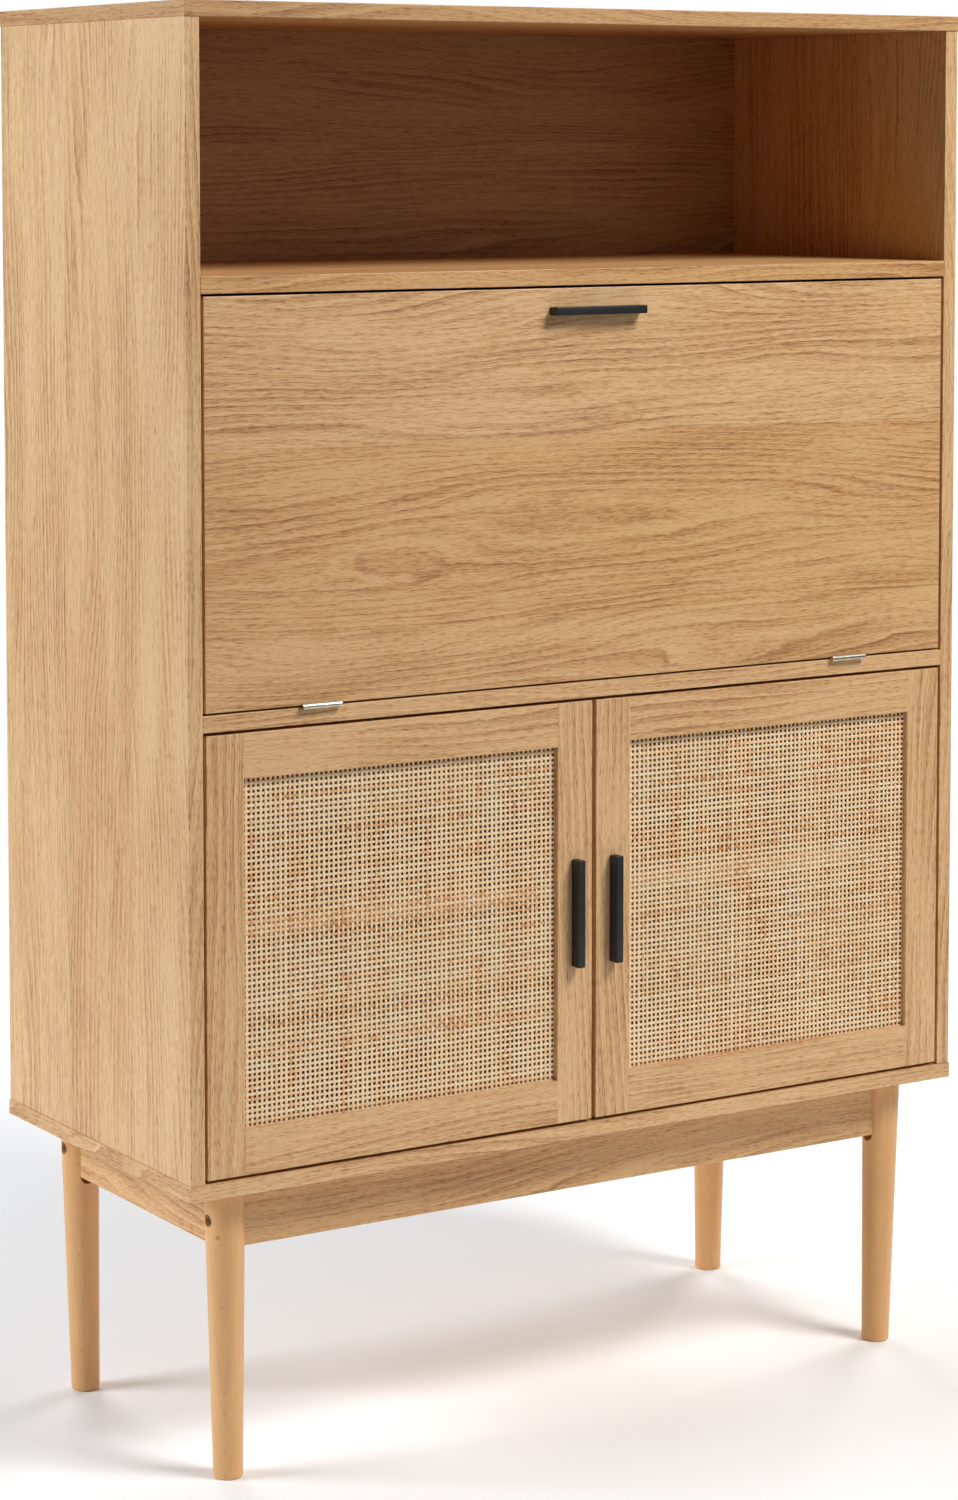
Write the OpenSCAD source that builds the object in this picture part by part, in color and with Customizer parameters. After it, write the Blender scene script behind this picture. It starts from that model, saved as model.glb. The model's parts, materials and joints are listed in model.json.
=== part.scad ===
// Secretary desk: an open bay on top, a drop front desk bay in the middle and
// a lower bay behind two cane doors, on four round tapered legs.
// X runs across the front, -Y is the front, +Z is up. The floor is Z = 0 and
// the origin is the middle of the footprint, handles included. Millimetres.

/* [Overall size] */
// Width of the top panel
overall_w = 900; // [740:10:1100]
// Depth of the top panel
overall_d = 390; // [320:5:480]
// Height from the floor to the top
overall_h = 1390; // [1280:10:1600]

/* [Boards] */
// Thickness of the top, bottom and side panels
board_t = 15; // [12:0.5:19]
// Thickness of the fixed and loose shelves
shelf_t = 16; // [13:0.5:20]
// Thickness of the back panels
back_t = 5; // [3:0.5:8]
// Distance from the rear edge to the front face of the back panels
back_inset = 21; // [12:1:30]
// How far the back panels sit in their grooves
back_tongue = 5.5; // [3:0.5:8]
// How far the top and bottom panels stand past the side panels
overhang = 1; // [0.5:0.5:4]

/* [Bays] */
// Clear height of the open bay on top
open_bay_h = 236; // [180:2:300]
// Clear height of the desk bay behind the flap
desk_bay_h = 388; // [320:2:440]

/* [Flap] */
// Thickness of the flap
flap_t = 16; // [13:0.5:20]
// Gap between the flap and the side panels
flap_side_gap = 3; // [2:0.5:4]
// Gap above the closed flap
flap_top_gap = 2.5; // [2:0.5:4]
// Gap below the flap, which holds both hinge leaves
flap_low_gap = 2; // [2:0.5:4]
// How far the flap and the doors lie behind the front edges
face_recess = 0.5; // [0:0.5:3]
// Distance from the flap's top edge to the middle of its handle
flap_handle_drop = 22; // [16:1:40]

/* [Flap hinges] */
// Distance from the middle of the desk to each flap hinge
hinge_x = 310; // [200:5:340]
// Length of one knuckle
knuckle_l = 7; // [5:0.5:10]
// Diameter of the hinge barrel
barrel_d = 6; // [5:0.5:8]
// Diameter of the hinge pin
hinge_pin_d = 3; // [2:0.5:3.5]
// Thickness of a hinge leaf
leaf_t = 0.9; // [0.6:0.1:0.9]
// Width of a hinge leaf behind the barrel
leaf_w = 15; // [12:1:18]

/* [Flap stays] */
// Height of the stay pin over the inner face of the flap
stay_off = 10; // [9:0.5:14]
// Angle at the flap hinge between the stay pin and the guide
stay_split = 16; // [14:1:20]
// Diameter of the stay rod
rod_d = 6; // [5:0.5:7]
// Distance from the side panel to the middle of the rod
rod_in = 11; // [10.5:0.5:14]
// Diameter of the turning guide
guide_d = 16; // [14:1:18]
// Room between the end of the rod and the back panel
rod_room = 18; // [10:1:30]

/* [Doors] */
// Thickness of the doors
door_t = 16; // [15:0.5:20]
// Gap round each door
door_gap = 3; // [2.5:0.5:4]
// Gap between the two doors
meeting_gap = 5; // [3:0.5:6]
// Width of the upright stiles
stile_w = 40; // [38:1:60]
// Height of the rails
rail_h = 43; // [36:1:60]
// Distance from the face of the door to the cane
cane_recess = 5; // [4:0.5:6]
// Thickness of the cane
cane_t = 2; // [1.5:0.5:3]
// Width of the rebate that holds the cane
rebate_w = 8; // [6:0.5:8]

/* [Door hinges] */
// Diameter of the hinge cup
cup_d = 26; // [24:1:26]
// Distance from the door's outer edge to the pivot
pivot_in = 17; // [16:0.5:17]
// Depth of the pivot behind the face of the door
pivot_deep = 8.5; // [8:0.5:9]
// Distance from the end of a door to the middle of a hinge
cup_from_end = 90; // [70:5:120]

/* [Handles] */
// Length of a bar handle
handle_l = 106; // [90:2:140]
// Width of a bar handle
handle_w = 8; // [7:0.5:14]
// How far a handle stands out
handle_out = 13; // [10:0.5:24]
// Distance between the two handle screws
handle_screws_l = 96; // [64:32:96]

/* [Loose shelf] */
// Number of pin holes in each column
pin_rows = 5; // [3:2:7]
// Height from one pin hole to the next
pin_pitch = 32; // [20:1:40]
// Diameter of a shelf pin
pin_d = 5; // [4:0.5:6]
// Distance from the face of the doors to the loose shelf
loose_shelf_set = 45; // [40:1:80]

/* [Base] */
// Height of the legs
leg_h = 282; // [180:2:320]
// Diameter of a leg at the top
leg_top_d = 39; // [37:1:50]
// Diameter of a leg at the foot
leg_foot_d = 28.4; // [22:0.2:36]
// Distance from the side edge to the leg's axis
leg_in_x = 58; // [45:1:90]
// Distance from the front or rear edge to the leg's axis
leg_in_y = 42; // [36:1:70]
// How far the foot leans inwards across the width
lean_x = 3.6; // [0:0.2:8]
// How far the foot leans inwards across the depth
lean_y = 2; // [0:0.2:8]
// Thickness of the aprons
apron_t = 15; // [14:0.5:16]
// Height of the aprons
apron_h = 59.5; // [50:0.5:80]
// Distance from the carcass down to the leg bolts
leg_bolt_drop = 32; // [31:1:36]

/* [Hidden] */
$fn = 48;
eps = 0.01;

// Colours
oak = "#C9A06C";
edge_oak = "#C09560";
pale_wood = "#DDB98A";
black_metal = "#1C1C1E";
nickel = "#C9CACC";
steel = "#9B9DA0";
zinc = "#B5B8BB";
cane = "#D8BE96";

// Clearances
fit = 0.05;         // round a screw, dowel or pin that sits fast
turn_fit = 0.05;    // round a pin that turns
slide_fit = 0.08;   // round the sliding rod
loose = 0.2;        // between pieces that drop into a slot or a groove
bolt_room = 0.25;   // round a bolt that passes through a board

// Planes across the depth: the handles stand past the front edge
handle_past = max(0, handle_out - overhang - face_recess);
front_y = -overall_d/2 + handle_past/2;
rear_y = front_y + overall_d;
side_front_y = front_y + overhang;
side_rear_y = rear_y - overhang;
face_y = side_front_y + face_recess;
back_y = rear_y - back_inset;
mid_y = (front_y + rear_y)/2;

// Planes across the width
side_x = overall_w/2 - overhang;
bay_x = side_x - board_t;

// Planes up the height
bottom_top = leg_h + board_t;
top_low = overall_h - board_t;
upper_top = top_low - open_bay_h;
upper_low = upper_top - shelf_t;
middle_top = upper_low - desk_bay_h;
middle_low = middle_top - shelf_t;
lower_bay_h = middle_low - bottom_top;

// Flap
flap_x = bay_x - flap_side_gap;
flap_low = middle_top + flap_low_gap;
flap_top = upper_low - flap_top_gap;
flap_back = face_y + flap_t;
flap_handle_z = flap_top - flap_handle_drop;

// Flap hinge axis: just in front of the shelf edge, in the middle of the gap
axis_y = side_front_y - barrel_d/2 - 0.1;
axis_z = middle_top + flap_low_gap/2;
knuckles = 6;
barrel_l = knuckles*knuckle_l;
knuckle_gap = 0.2;
leaf_screw_d = 3;
leaf_screw_l = 13;
leaf_head_d = 5.4;
leaf_head_h = 1.2;
leaf_screw_y = barrel_d/2 + leaf_w*0.55;

// Flap stay: the guide and the stay pin are equally far from the hinge axis,
// so the rod turns at exactly half the speed of the flap
stay_stop_t = 5;
stay_end = guide_d/2 + loose + stay_stop_t;
stay_pin_y = flap_back + stay_off - axis_y;
stay_reach = back_y - rod_room - axis_y - stay_pin_y;
open_half = (90 + stay_split)/2;
// First estimate of the radius, then the same sum with the slope that it gives
stay_r_first = (stay_reach - stay_end)/(2*sin(open_half));
stay_slope_first = asin(stay_pin_y/stay_r_first) + stay_split/2;
stay_r = (stay_reach/cos(stay_slope_first) - stay_end)/(2*sin(open_half));
stay_pin_angle = asin(stay_pin_y/stay_r);
guide_angle = stay_pin_angle + stay_split;
stay_slope = stay_pin_angle + stay_split/2;
stay_pin_z = stay_r*cos(stay_pin_angle);
guide_y = stay_r*sin(guide_angle);
guide_z = stay_r*cos(guide_angle);
rod_l = 2*stay_r*sin(open_half) + guide_d/2 + loose;
stay_pin_d = 4;
eye_t = rod_d;
eye_d = 10;
ear_t = 3;
ear_in = rod_in + eye_t/2 + 0.3;
bracket_t = 2;
bracket_w = 30;
bracket_h = 36;
bracket_out = 9;
plate_t = 4;
plate_w = 34;
plate_h = 44;
spindle_d = 6;
rivet_d = 9;
rivet_t = 1.2;

// Doors, drawn for the left and mirrored for the right
door_low = bottom_top + door_gap;
door_top = middle_low - door_gap;
door_mid = (door_low + door_top)/2;
door_out = -(bay_x - door_gap);
door_in = -meeting_gap/2;
door_back = face_y + door_t;
pane_out = door_out + stile_w;
pane_in = door_in - stile_w;
pane_low = door_low + rail_h;
pane_top = door_top - rail_h;
cane_y = face_y + cane_recess;
bead_y = cane_y + cane_t;
tenon_l = 10;
tenon_t = 6;
tenon_shoulder = 5;
door_handle_x = door_in - stile_w/2;

// Concealed hinge: points of the arm from the pivot to the side panel
pivot_x = door_out + pivot_in;
pivot_y = face_y + pivot_deep;
cup_back = door_back - pivot_y;
cup_deep = 11.5;
cup_wall = 0.6;
cup_floor = 1;
cup_flange_t = 1;
cup_flange_w = 16;
cup_flange_h = 48;
cup_screw_z = 18;
door_pin_d = 3;
arm_t = 1.5;
arm_h = 10;
arm_eye_d = 4.8;
wall_x = -bay_x - pivot_x;
mount_t = 3.75;
mount_y = 30;
mount_l = 50;
mount_h = 46;
mount_screw_z = 16;
arm_run_x = wall_x + mount_t + arm_t/2;
arm_path = [
    [0, 0], [10.2, 9], [10.2, pivot_in + 5], [arm_run_x, pivot_in + 5],
    [arm_run_x, mount_y + mount_l - 4]
];

// Loose shelf
shelf_side_gap = 1;
loose_y0 = face_y + loose_shelf_set;
loose_y1 = back_y - 3;
pin_hole_l = 9;
pin_out = 8;
collar_d = 8;
collar_t = 1;
pin_inset = 40;
pin_mid_z = bottom_top + lower_bay_h/2;
loose_low = pin_mid_z + pin_d/2;

// Board joints
dowel_d = 8;
dowel_l = 30;
dowel_in = 10;
dowel_pitch = overall_d/3.2;
cam_d = 15;
cam_h = 12.5;
cam_in = 34;
cam_bolt_d = 6;
cam_head_d = 7;
cam_thread_d = 5;
cam_thread_l = 11;
cam_y_in = 60;

// Base
leg_x = overall_w/2 - leg_in_x;
leg_front_y = front_y + leg_in_y;
leg_rear_y = rear_y - leg_in_y;
slot_from = apron_t/2 + 0.5;
foot_round = 1.2;
bolt_z = leg_h - leg_bolt_drop;
bolt_d = 6;
bolt_head_d = 10;
bolt_head_h = 6;
bolt_hole_d = 12.5;
nut_d = 10;
nut_in = 35;
nut_l = apron_t - 3;
bolt_l = slot_from + slot_from + nut_in + nut_d/2;
base_bolt_in = 22;
base_head_d = 12;
base_head_h = 3.3;
base_screw_d = 4;
base_screw_l = 40;
base_screw_head_d = 8;
base_screw_head_h = 2.4;
base_screw_x = leg_x/2;

// Small screws
pan_d = 3.5;
pan_head_d = 7;
pan_head_h = 2.2;
side_screw_l = 12;
m4_d = 4;
handle_thread_l = 9;

// Magnetic catch
catch_w = 46;
catch_d = 14;
catch_h = 13;
catch_dish = 2;
strike_w = 36;
strike_h = 13;
strike_t = 1.5;
catch_y = flap_back + strike_t + 0.3;

// A box between two corners
module block(a, b) {
    translate(a) cube(b - a);
}

// Draws for the left side; a side of 1 mirrors it to the right
module to_side(side) {
    if (side < 0) children();
    else mirror([1, 0, 0]) children();
}

// Screw along Z with its head above the seat at Z = 0
module pan_screw(d, l, head_d, head_h) {
    difference() {
        union() {
            translate([0, 0, -l]) cylinder(d = d, h = l + eps);
            cylinder(d = head_d, h = head_h);
        }
        for (turn = [0, 90]) rotate(turn)
            translate([-d*0.55, -0.45, head_h*0.4]) cube([d*1.1, 0.9, head_h]);
    }
}

// Screw along Z whose head ends flush with Z = 0
module sunk_screw(d, l, head_d, head_h) {
    difference() {
        union() {
            translate([0, 0, -l]) cylinder(d = d, h = l - head_h + eps);
            translate([0, 0, -head_h]) cylinder(d1 = d, d2 = head_d, h = head_h);
        }
        for (turn = [0, 90]) rotate(turn)
            translate([-d*0.5, -0.4, -head_h*0.6]) cube([d, 0.8, head_h]);
    }
}

// Room for a screw of each kind, open upwards
module pan_hole(d, l, room = fit) {
    translate([0, 0, -l - room]) cylinder(d = d + 2*room, h = l + room + 1);
}

module sunk_hole(d, l, head_d, head_h, room = fit) {
    translate([0, 0, -l - room]) cylinder(d = d + 2*room, h = l + room);
    translate([0, 0, -head_h])
        cylinder(d1 = d + 2*room, d2 = head_d + 2*room, h = head_h + eps);
}

// Hole along Z that ends at Z = 0
module blind_hole(d, l) {
    translate([0, 0, -eps]) cylinder(d = d + 2*fit, h = l + fit + eps);
}

// Strip of even thickness along a path, with mitred corners
function unit(v) = v/norm(v);
function side_of(a, b) = let (d = unit(b - a)) [-d[1], d[0]];
function mitre(p, i, t) =
    let (last = len(p) - 1,
         n1 = side_of(p[max(i - 1, 0)], p[max(i, 1)]),
         n2 = side_of(p[min(i, last - 1)], p[min(i + 1, last)]),
         m = unit(n1 + n2))
    m*t/(m*n1);
module ribbon(p, t, h) {
    last = len(p) - 1;
    translate([0, 0, -h/2]) linear_extrude(h) polygon(concat(
        [for (i = [0:last]) p[i] + mitre(p, i, t/2)],
        [for (i = [last:-1:0]) p[i] - mitre(p, i, t/2)]));
}

// Places that several pieces share

module at_flap_hinges() {
    for (x = [-hinge_x, hinge_x]) translate([x, axis_y, axis_z]) children();
}

module at_leaf_screws() {
    for (x = [-barrel_l/2 + 7, 0, barrel_l/2 - 7]) translate([x, leaf_screw_y, 0]) children();
}

module at_guide(side) {
    to_side(side) translate([-bay_x, axis_y + guide_y, axis_z + guide_z]) children();
}

module at_stay_pin(side) {
    to_side(side) translate([-bay_x, axis_y + stay_pin_y, axis_z + stay_pin_z]) children();
}

module at_door_hinges(side) {
    to_side(side) for (z = [door_low + cup_from_end, door_top - cup_from_end])
        translate([pivot_x, pivot_y, z]) children();
}

module at_handle_screws() {
    for (along = [-handle_screws_l/2, handle_screws_l/2]) translate([0, 0, along]) children();
}

module at_pin_holes(rows) {
    for (y = [loose_y0 + pin_inset, loose_y1 - pin_inset], row = rows)
        translate([-bay_x, y, pin_mid_z + row*pin_pitch]) children();
}

// Dowels between a side panel and the panel that lies on its end
module at_end_dowels() {
    for (along = [-1, 0, 1])
        translate([-(bay_x + board_t/2), mid_y + along*dowel_pitch, 0]) children();
}

// Middle of each fixed shelf's thickness
module at_shelf_levels() {
    for (z = [upper_low, middle_low]) translate([0, 0, z + shelf_t/2]) children();
}

// Front and rear cam of a shelf, at its end
module at_cams() {
    for (y = [side_front_y + cam_y_in, back_y - cam_y_in])
        translate([-bay_x, y, 0]) children();
}

module at_base_screws() {
    for (x = [-base_screw_x, base_screw_x], y = [leg_front_y, leg_rear_y])
        translate([x, y, bottom_top]) children();
    for (x = [-leg_x, leg_x]) translate([x, mid_y, bottom_top]) children();
}

module at_legs() {
    for (x = [-leg_x, leg_x], y = [leg_front_y, leg_rear_y]) translate([x, y, 0]) children();
}

// Grooves for the back panels
module back_groove_side() {
    block([-bay_x - back_tongue - loose, back_y - loose/2, bottom_top - eps],
          [-bay_x + 1, back_y + back_t + loose/2, top_low + eps]);
}

module back_groove_end(z0, z1) {
    block([-bay_x - back_tongue - loose, back_y - loose/2, z0],
          [bay_x + back_tongue + loose, back_y + back_t + loose/2, z1]);
}

// Carcass

module end_panel(z0) {
    block([-overall_w/2, front_y, z0], [overall_w/2, rear_y, z0 + board_t]);
}

module top_panel() {
    color(oak) difference() {
        end_panel(top_low);
        back_groove_end(top_low - 1, top_low + back_tongue + loose);
        for (side = [-1, 1]) to_side(side) at_end_dowels()
            translate([0, 0, top_low]) blind_hole(dowel_d, dowel_in);
    }
}

module bottom_panel() {
    color(oak) difference() {
        end_panel(leg_h);
        back_groove_end(bottom_top - back_tongue - loose, bottom_top + 1);
        for (side = [-1, 1]) to_side(side) at_end_dowels()
            translate([0, 0, bottom_top]) mirror([0, 0, 1]) blind_hole(dowel_d, dowel_in);
        at_base_screws() sunk_hole(base_screw_d, board_t + 1, base_screw_head_d, base_screw_head_h);
        at_legs() translate([0, 0, bottom_top])
            sunk_hole(bolt_d, board_t + 1, base_head_d, base_head_h);
    }
}

module side_panel() {
    difference() {
        block([-side_x, side_front_y, bottom_top], [-bay_x, side_rear_y, top_low]);
        back_groove_side();
        at_end_dowels() {
            translate([0, 0, top_low]) mirror([0, 0, 1]) blind_hole(dowel_d, dowel_l - dowel_in);
            translate([0, 0, bottom_top]) blind_hole(dowel_d, dowel_l - dowel_in);
        }
        at_shelf_levels() {
            translate([-bay_x, mid_y, 0]) rotate([0, -90, 0]) blind_hole(dowel_d, dowel_in);
            at_cams() rotate([0, -90, 0]) blind_hole(cam_thread_d, cam_thread_l);
        }
        at_pin_holes([-(pin_rows - 1)/2:(pin_rows - 1)/2])
            rotate([0, -90, 0]) blind_hole(pin_d, pin_hole_l);
        at_side_screws(-1) pan_hole(pan_d, side_screw_l);
    }
}

module side_panel_left() {
    color(oak) side_panel();
}

module side_panel_right() {
    color(oak) to_side(1) side_panel();
}

// Fixed shelf, cut for its cams, cam bolts and end dowels
module fixed_shelf(z0) {
    difference() {
        block([-bay_x, side_front_y, z0], [bay_x, back_y, z0 + shelf_t]);
        for (side = [-1, 1]) to_side(side) translate([0, 0, z0 + shelf_t/2]) {
            translate([-bay_x, mid_y, 0]) rotate([0, 90, 0]) blind_hole(dowel_d, dowel_l - dowel_in);
            at_cams() {
                rotate([0, 90, 0]) blind_hole(cam_head_d, cam_in);
                translate([cam_in, 0, -shelf_t/2]) blind_hole(cam_d, cam_h);
            }
        }
        children();
    }
}

module upper_shelf() {
    color(oak) fixed_shelf(upper_low) {
        at_catch_screws() mirror([0, 0, 1]) pan_hole(pan_d, side_screw_l - 2);
    }
}

module middle_shelf() {
    color(oak) fixed_shelf(middle_low) {
        at_flap_hinges() translate([0, 0, leaf_t - flap_low_gap/2]) at_leaf_screws()
            sunk_hole(leaf_screw_d, leaf_screw_l, leaf_head_d, leaf_head_h);
    }
}

module back_panel(z0, z1) {
    block([-bay_x - back_tongue, back_y, z0], [bay_x + back_tongue, back_y + back_t, z1]);
}

module back_panel_upper() {
    color(oak) back_panel(upper_low + shelf_t/2 + loose, top_low + back_tongue);
}

module back_panel_middle() {
    color(oak) back_panel(middle_low + shelf_t/2 + loose, upper_low + shelf_t/2);
}

module back_panel_lower() {
    color(oak) back_panel(bottom_top - back_tongue, middle_low + shelf_t/2);
}

module adjustable_shelf() {
    color(oak) block([-bay_x + shelf_side_gap, loose_y0, loose_low],
                     [bay_x - shelf_side_gap, loose_y1, loose_low + shelf_t]);
}

module shelf_pins() {
    color(zinc) for (side = [-1, 1]) to_side(side) at_pin_holes([0]) {
        rotate([0, -90, 0]) cylinder(d = pin_d, h = pin_hole_l);
        rotate([0, 90, 0]) cylinder(d = pin_d, h = pin_out);
    }
}

module dowels() {
    color(pale_wood) for (side = [-1, 1]) to_side(side) {
        at_end_dowels() {
            translate([0, 0, top_low + dowel_in - dowel_l]) cylinder(d = dowel_d, h = dowel_l);
            translate([0, 0, bottom_top - dowel_in]) cylinder(d = dowel_d, h = dowel_l);
        }
        at_shelf_levels() translate([-bay_x - dowel_in, mid_y, 0])
            rotate([0, 90, 0]) cylinder(d = dowel_d, h = dowel_l);
    }
}

module cam_locks() {
    color(zinc) for (side = [-1, 1]) to_side(side) at_shelf_levels() at_cams()
        translate([cam_in, 0, -shelf_t/2]) difference() {
            cylinder(d = cam_d, h = cam_h);
            translate([-cam_d, 0, shelf_t/2]) rotate([0, 90, 0])
                cylinder(d = cam_head_d + 0.4, h = cam_d + 4);
            for (turn = [0, 90]) rotate(turn) translate([-3, -0.6, -eps]) cube([6, 1.2, 2]);
        }
}

module cam_bolts() {
    color(zinc) for (side = [-1, 1]) to_side(side) at_shelf_levels() at_cams() rotate([0, 90, 0]) {
        translate([0, 0, -cam_thread_l]) cylinder(d = cam_thread_d, h = cam_thread_l + eps);
        cylinder(d = cam_bolt_d, h = cam_in - 4);
        translate([0, 0, cam_in - 4 - eps]) cylinder(d = cam_head_d, h = 6);
    }
}

// Base

// Leg with its outer side towards -X and its front towards -Y
module leg() {
    slant = norm([lean_x, lean_y, leg_h]);
    more = 1;
    taper = (leg_top_d - leg_foot_d)/2/slant;
    foot_r = leg_foot_d/2;
    difference() {
        intersection() {
            translate([lean_x, lean_y, 0])
                rotate([atan2(lean_y, leg_h), -atan2(lean_x, leg_h), 0])
                rotate_extrude() polygon([
                    [0, -more], [foot_r - foot_round, -more], [foot_r - foot_round, 0],
                    [foot_r, foot_round*1.6],
                    [leg_top_d/2 + more*taper, slant + more], [0, slant + more]
                ]);
            translate([-leg_top_d, -leg_top_d, 0]) cube([2*leg_top_d, 2*leg_top_d, leg_h]);
        }
        apron_slot();
        mirror([1, -1, 0]) apron_slot();
        translate([0, 0, bolt_z]) rotate([0, -90, 0]) {
            translate([0, 0, slot_from]) cylinder(d = bolt_hole_d, h = leg_top_d);
            translate([0, 0, -leg_top_d]) cylinder(d = bolt_d + 2*bolt_room, h = 2*leg_top_d);
        }
        translate([0, 0, leg_h - base_bolt_in - 1])
            cylinder(d = bolt_d + 2*fit, h = base_bolt_in + 2);
    }
}

// Slot for an apron that runs along +X, with a round lower end
module apron_slot() {
    half = apron_t/2 + fit;
    translate([slot_from, 0, 0]) {
        translate([0, -half, leg_h - apron_h]) cube([leg_top_d, 2*half, apron_h + 1]);
        translate([0, 0, leg_h - apron_h]) rotate([0, 90, 0]) cylinder(r = half, h = leg_top_d);
    }
}

module leg_front_left() {
    color(pale_wood) translate([-leg_x, leg_front_y, 0]) leg();
}

module leg_front_right() {
    color(pale_wood) translate([leg_x, leg_front_y, 0]) mirror([1, 0, 0]) leg();
}

module leg_rear_left() {
    color(pale_wood) translate([-leg_x, leg_rear_y, 0]) mirror([0, 1, 0]) leg();
}

module leg_rear_right() {
    color(pale_wood) translate([leg_x, leg_rear_y, 0]) mirror([1, 0, 0]) mirror([0, 1, 0]) leg();
}

// Apron across the width; inner is the direction of its inner face
module long_apron(y, inner) {
    end_x = leg_x - slot_from - loose/2;
    color(oak) difference() {
        block([-end_x, y - apron_t/2, leg_h - apron_h], [end_x, y + apron_t/2, leg_h]);
        for (side = [-1, 1]) to_side(side) translate([-leg_x, y, bolt_z]) {
            rotate([0, 90, 0]) cylinder(d = bolt_d + 2*bolt_room, h = bolt_l - slot_from + 4);
            translate([slot_from + nut_in, inner*(apron_t/2 - nut_l), 0])
                rotate([-inner*90, 0, 0]) cylinder(d = nut_d + 2*fit, h = apron_t);
        }
        at_base_screws() pan_hole(base_screw_d, base_screw_l);
    }
}

module apron_front() {
    long_apron(leg_front_y, 1);
}

module apron_rear() {
    long_apron(leg_rear_y, -1);
}

// Apron across the depth
module short_apron() {
    y0 = leg_front_y + slot_from + loose/2;
    y1 = leg_rear_y - slot_from - loose/2;
    difference() {
        block([-leg_x - apron_t/2, y0, leg_h - apron_h], [-leg_x + apron_t/2, y1, leg_h]);
        at_base_screws() pan_hole(base_screw_d, base_screw_l);
    }
}

module apron_left() {
    color(oak) short_apron();
}

module apron_right() {
    color(oak) to_side(1) short_apron();
}

module leg_bolts() {
    color(steel) for (side = [-1, 1], y = [leg_front_y, leg_rear_y])
        to_side(side) translate([-leg_x - slot_from, y, bolt_z]) rotate([0, -90, 0]) difference() {
            union() {
                cylinder(d = bolt_head_d, h = bolt_head_h);
                translate([0, 0, -bolt_l]) cylinder(d = bolt_d, h = bolt_l + eps);
            }
            translate([0, 0, bolt_head_h/2]) cylinder(d = 5.6, h = bolt_head_h, $fn = 6);
        }
}

module barrel_nuts() {
    color(steel) for (side = [-1, 1], rear = [-1, 1]) to_side(side)
        translate([-leg_x + slot_from + nut_in, mid_y + rear*(leg_rear_y - mid_y), bolt_z])
            difference() {
                translate([0, -rear*(apron_t/2 - nut_l), 0])
                    rotate([rear*90, 0, 0]) cylinder(d = nut_d, h = nut_l - 0.5);
                rotate([0, 90, 0]) cylinder(d = bolt_d + 2*fit, h = 2*nut_d, center = true);
            }
}

module base_bolts() {
    color(steel) at_legs() translate([0, 0, bottom_top])
        sunk_screw(bolt_d, board_t + base_bolt_in, base_head_d, base_head_h);
}

module base_screws() {
    color(zinc) at_base_screws()
        sunk_screw(base_screw_d, base_screw_l, base_screw_head_d, base_screw_head_h);
}

// Flap hinges

// Leaf along -Z of the gap's middle; even knuckles belong to the shelf side
module hinge_leaf(odd, bore) {
    start = -barrel_l/2;
    difference() {
        union() {
            translate([start, 0, -flap_low_gap/2]) cube([barrel_l, barrel_d/2 + leaf_w, leaf_t]);
            for (k = [odd:2:knuckles - 1])
                translate([start + k*knuckle_l + knuckle_gap/2, 0, 0]) rotate([0, 90, 0])
                    cylinder(d = barrel_d, h = knuckle_l - knuckle_gap);
        }
        for (k = [1 - odd:2:knuckles - 1])
            translate([start + k*knuckle_l - knuckle_gap/2, -barrel_d, -barrel_d])
                cube([knuckle_l + knuckle_gap, 1.5*barrel_d + 0.3, 2*barrel_d]);
        translate([start - 1, 0, 0]) rotate([0, 90, 0]) cylinder(d = bore, h = barrel_l + 2);
        translate([0, 0, leaf_t - flap_low_gap/2]) at_leaf_screws()
            sunk_hole(leaf_screw_d, leaf_screw_l, leaf_head_d, leaf_head_h);
    }
}

module flap_hinge_shelf_leaves() {
    color(nickel) at_flap_hinges() hinge_leaf(0, hinge_pin_d);
}

module flap_hinge_leaves() {
    color(nickel) at_flap_hinges() mirror([0, 0, 1])
        hinge_leaf(1, hinge_pin_d + 2*turn_fit);
}

module flap_hinge_pins() {
    color(nickel) at_flap_hinges() translate([-barrel_l/2, 0, 0])
        rotate([0, 90, 0]) cylinder(d = hinge_pin_d, h = barrel_l);
}

module flap_hinge_shelf_screws() {
    color(nickel) at_flap_hinges() translate([0, 0, leaf_t - flap_low_gap/2]) at_leaf_screws()
        sunk_screw(leaf_screw_d, leaf_screw_l, leaf_head_d, leaf_head_h);
}

module flap_hinge_screws() {
    color(nickel) at_flap_hinges() mirror([0, 0, 1])
        translate([0, 0, leaf_t - flap_low_gap/2]) at_leaf_screws()
            sunk_screw(leaf_screw_d, leaf_screw_l, leaf_head_d, leaf_head_h);
}

// Flap

module flap_panel() {
    color(oak) difference() {
        block([-flap_x, face_y, flap_low], [flap_x, flap_back, flap_top]);
        at_flap_handle_screws() pan_hole(m4_d, flap_t + 1, bolt_room);
        at_flap_hinges() mirror([0, 0, 1]) translate([0, 0, leaf_t - flap_low_gap/2])
            at_leaf_screws() sunk_hole(leaf_screw_d, leaf_screw_l, leaf_head_d, leaf_head_h);
        at_flap_inner_screws() pan_hole(pan_d, side_screw_l);
    }
}

// Bar handle along Z with its back at Y = 0
module bar_handle() {
    difference() {
        block([-handle_w/2, -handle_out, -handle_l/2], [handle_w/2, 0, handle_l/2]);
        at_handle_screws() rotate([90, 0, 0]) blind_hole(m4_d, handle_thread_l);
    }
}

module at_flap_handle_screws() {
    translate([0, flap_back, flap_handle_z]) rotate([0, 90, 0])
        at_handle_screws() rotate([-90, 0, 0]) children();
}

module flap_handle() {
    color(black_metal) translate([0, face_y, flap_handle_z]) rotate([0, 90, 0]) bar_handle();
}

module flap_handle_screws() {
    color(zinc) at_flap_handle_screws()
        pan_screw(m4_d, flap_t + handle_thread_l - 1, pan_head_d, pan_head_h);
}

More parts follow.
